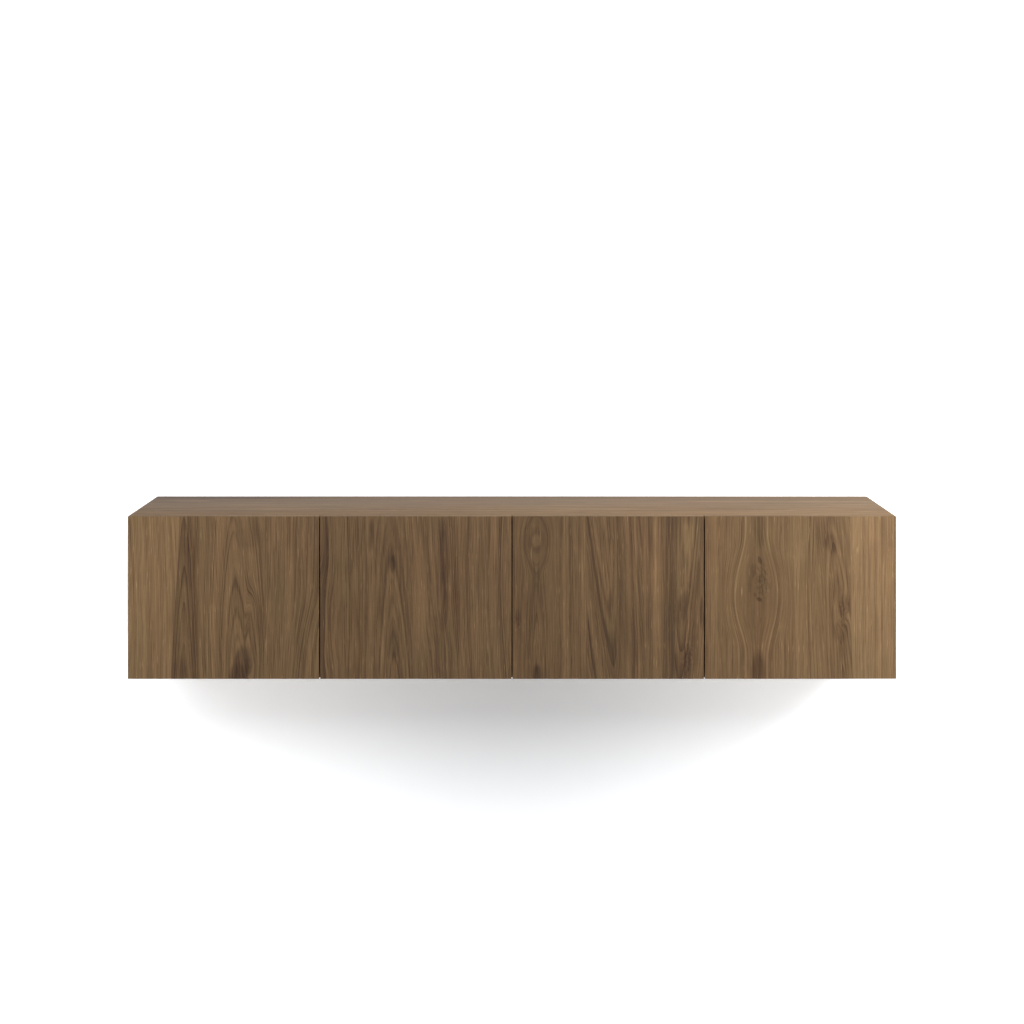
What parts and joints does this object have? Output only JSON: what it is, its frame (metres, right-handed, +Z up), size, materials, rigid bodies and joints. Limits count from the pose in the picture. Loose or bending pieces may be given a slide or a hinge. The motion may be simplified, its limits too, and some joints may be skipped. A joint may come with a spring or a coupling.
{
  "type": "wall-hung tv stand",
  "caption": "Long low wall-hung TV cabinet in walnut veneer with handleless push-to-open doors on concealed hinges, shelves, push latches and a wall rail.",
  "frame": {"origin": "centre of the flat back of the wall rail, on the wall", "axes": "+X to the right seen from the front, +Y out of the back into the wall, +Z up; the doors face -Y"},
  "size_m": [1.8, 0.45, 0.381],
  "materials": {
    "walnut_doors": "walnut veneer with upright grain, matt lacquer",
    "walnut_top": "walnut veneer with grain along the length, matt lacquer",
    "walnut_carcass": "walnut veneer, matt lacquer",
    "back_board": "thin dark walnut board, matt",
    "nickel": "nickel plated steel, satin",
    "zinc_plate": "zinc plated steel, dull",
    "dark_plastic": "dark moulded plastic, matt",
    "pale_plastic": "pale grey moulded plastic, matt"
  },
  "bodies": {
    "carcass": {"top_panel": "walnut_top", "bottom_panel": "walnut_carcass", "left_side": "walnut_carcass", "right_side": "walnut_carcass", "centre_partition": "walnut_carcass", "back_panel_left": "back_board", "back_panel_right": "back_board", "shelf_left": "walnut_carcass", "shelf_right": "walnut_carcass", "shelf_pin_left_1": "nickel", "shelf_pin_left_2": "nickel", "shelf_pin_left_3": "nickel", "shelf_pin_left_4": "nickel", "shelf_pin_right_1": "nickel", "shelf_pin_right_2": "nickel", "shelf_pin_right_3": "nickel", "shelf_pin_right_4": "nickel", "wall_rail": "zinc_plate", "hanger_1": "zinc_plate", "hanger_2": "zinc_plate", "hanger_3": "zinc_plate", "hanger_4": "zinc_plate", "hinge_arm_1_upper": "nickel", "hinge_arm_1_lower": "nickel", "hinge_arm_2_upper": "nickel", "hinge_arm_2_lower": "nickel", "hinge_arm_3_upper": "nickel", "hinge_arm_3_lower": "nickel", "hinge_arm_4_upper": "nickel", "hinge_arm_4_lower": "nickel", "push_latch_1": "dark_plastic", "push_latch_2": "dark_plastic", "push_latch_3": "dark_plastic", "push_latch_4": "dark_plastic"},
    "door_1": {"door_1": "walnut_doors", "hinge_cup_1_upper": "nickel", "hinge_cup_1_lower": "nickel"},
    "door_2": {"door_2": "walnut_doors", "hinge_cup_2_upper": "nickel", "hinge_cup_2_lower": "nickel"},
    "door_3": {"door_3": "walnut_doors", "hinge_cup_3_upper": "nickel", "hinge_cup_3_lower": "nickel"},
    "door_4": {"door_4": "walnut_doors", "hinge_cup_4_upper": "nickel", "hinge_cup_4_lower": "nickel"},
    "links_1": {"hinge_link_1_upper": "nickel", "hinge_link_1_lower": "nickel"},
    "links_2": {"hinge_link_2_upper": "nickel", "hinge_link_2_lower": "nickel"},
    "links_3": {"hinge_link_3_upper": "nickel", "hinge_link_3_lower": "nickel"},
    "links_4": {"hinge_link_4_upper": "nickel", "hinge_link_4_lower": "nickel"},
    "plunger_1": {"latch_plunger_1": "pale_plastic"},
    "plunger_2": {"latch_plunger_2": "pale_plastic"},
    "plunger_3": {"latch_plunger_3": "pale_plastic"},
    "plunger_4": {"latch_plunger_4": "pale_plastic"}
  },
  "joints": [
    {"name": "door_1_hinge", "type": "hinge", "parent": "carcass", "child": "door_1", "pos_m": [-0.892, -0.447, -0.1335], "axis": [0, 0, -1], "range_deg": [0, 105]},
    {"name": "door_2_hinge", "type": "hinge", "parent": "carcass", "child": "door_2", "pos_m": [-0.0095, -0.447, -0.1335], "axis": [0, 0, 1], "range_deg": [0, 90]},
    {"name": "door_3_hinge", "type": "hinge", "parent": "carcass", "child": "door_3", "pos_m": [0.0095, -0.447, -0.1335], "axis": [0, 0, -1], "range_deg": [0, 90]},
    {"name": "door_4_hinge", "type": "hinge", "parent": "carcass", "child": "door_4", "pos_m": [0.892, -0.447, -0.1335], "axis": [0, 0, 1], "range_deg": [0, 105]},
    {"name": "links_1_pivot", "type": "hinge", "parent": "carcass", "child": "links_1", "pos_m": [-0.867, -0.4378, -0.1335], "axis": [0, 0, 1], "range_deg": [0, 64]},
    {"name": "links_2_pivot", "type": "hinge", "parent": "carcass", "child": "links_2", "pos_m": [-0.0345, -0.4378, -0.1335], "axis": [0, 0, -1], "range_deg": [0, 55]},
    {"name": "links_3_pivot", "type": "hinge", "parent": "carcass", "child": "links_3", "pos_m": [0.0345, -0.4378, -0.1335], "axis": [0, 0, 1], "range_deg": [0, 55]},
    {"name": "links_4_pivot", "type": "hinge", "parent": "carcass", "child": "links_4", "pos_m": [0.867, -0.4378, -0.1335], "axis": [0, 0, -1], "range_deg": [0, 64]},
    {"name": "plunger_1_slide", "type": "slide", "parent": "carcass", "child": "plunger_1", "axis": [0, -1, 0], "range_m": [0, 0.02]},
    {"name": "plunger_2_slide", "type": "slide", "parent": "carcass", "child": "plunger_2", "axis": [0, -1, 0], "range_m": [0, 0.02]},
    {"name": "plunger_3_slide", "type": "slide", "parent": "carcass", "child": "plunger_3", "axis": [0, -1, 0], "range_m": [0, 0.02]},
    {"name": "plunger_4_slide", "type": "slide", "parent": "carcass", "child": "plunger_4", "axis": [0, -1, 0], "range_m": [0, 0.02]}
  ],
  "couplings": [
    {"joint": "links_1_pivot", "follows": "door_1_hinge", "ratio": 0.6},
    {"joint": "links_2_pivot", "follows": "door_2_hinge", "ratio": 0.6},
    {"joint": "links_3_pivot", "follows": "door_3_hinge", "ratio": 0.6},
    {"joint": "links_4_pivot", "follows": "door_4_hinge", "ratio": 0.6},
    {"joint": "plunger_1_slide", "follows": "door_1_hinge", "m_per_rad": 0.0109},
    {"joint": "plunger_2_slide", "follows": "door_2_hinge", "m_per_rad": 0.0127},
    {"joint": "plunger_3_slide", "follows": "door_3_hinge", "m_per_rad": 0.0127},
    {"joint": "plunger_4_slide", "follows": "door_4_hinge", "m_per_rad": 0.0109}
  ]
}
